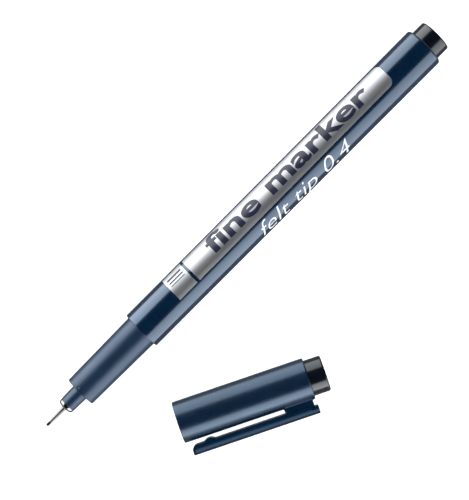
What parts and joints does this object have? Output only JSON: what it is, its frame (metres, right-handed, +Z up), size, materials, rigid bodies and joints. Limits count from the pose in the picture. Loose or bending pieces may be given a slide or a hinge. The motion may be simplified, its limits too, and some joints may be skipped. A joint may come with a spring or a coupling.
{
  "type": "felt tip marker",
  "caption": "Slim round felt tip marker for drawing, uncapped, with a steel-sleeved fine nib, silver label foil and a clip cap lying beside it.",
  "frame": {"origin": "middle of the underside of the marker and its cap together, on the surface they lie on", "axes": "+X from the nib towards the rear plug along the marker, +Y from the cap towards the marker, +Z up from the surface"},
  "size_m": [0.1352, 0.0508, 0.0108],
  "materials": {
    "navy_plastic": "satin moulded polypropylene, dark navy blue",
    "black_plastic": "satin moulded plastic, black",
    "silver_foil": "hot-stamped silver foil, satin",
    "steel": "drawn stainless steel, polished",
    "nib_fibre": "bonded fibre, black with ink",
    "ink_fibre": "bundled polyester fibre soaked with ink",
    "clear_film": "thin wrapping film",
    "seal_plastic": "soft moulded polyethylene",
    "dark_print": "printed ink, dark navy",
    "white_print": "printed ink, white"
  },
  "bodies": {
    "marker": {"nib": "nib_fibre", "nib_sleeve": "steel", "front_grip": "navy_plastic", "barrel": "navy_plastic", "label_main_panel": "silver_foil", "label_front_panel": "silver_foil", "ink_reservoir": "ink_fibre", "reservoir_film": "clear_film", "rear_plug": "black_plastic"},
    "cap": {"cap_shell": "navy_plastic", "cap_end_plug": "black_plastic", "cap_inner_seal": "seal_plastic", "cap_clip_root": "navy_plastic"},
    "clip": {"cap_clip": "navy_plastic"}
  },
  "joints": [
    {"name": "cap_draw", "type": "slide", "parent": "marker", "child": "cap", "axis": [0.8965, -0.4431, 0], "range_m": [0, 0.033]},
    {"name": "clip_flex", "type": "hinge", "parent": "cap", "child": "clip", "pos_m": [-0.02534, -0.02032, 0.00527], "axis": [0, 0, 1], "range_deg": [0, 5], "stiffness_Nm_per_rad": 0.6}
  ]
}
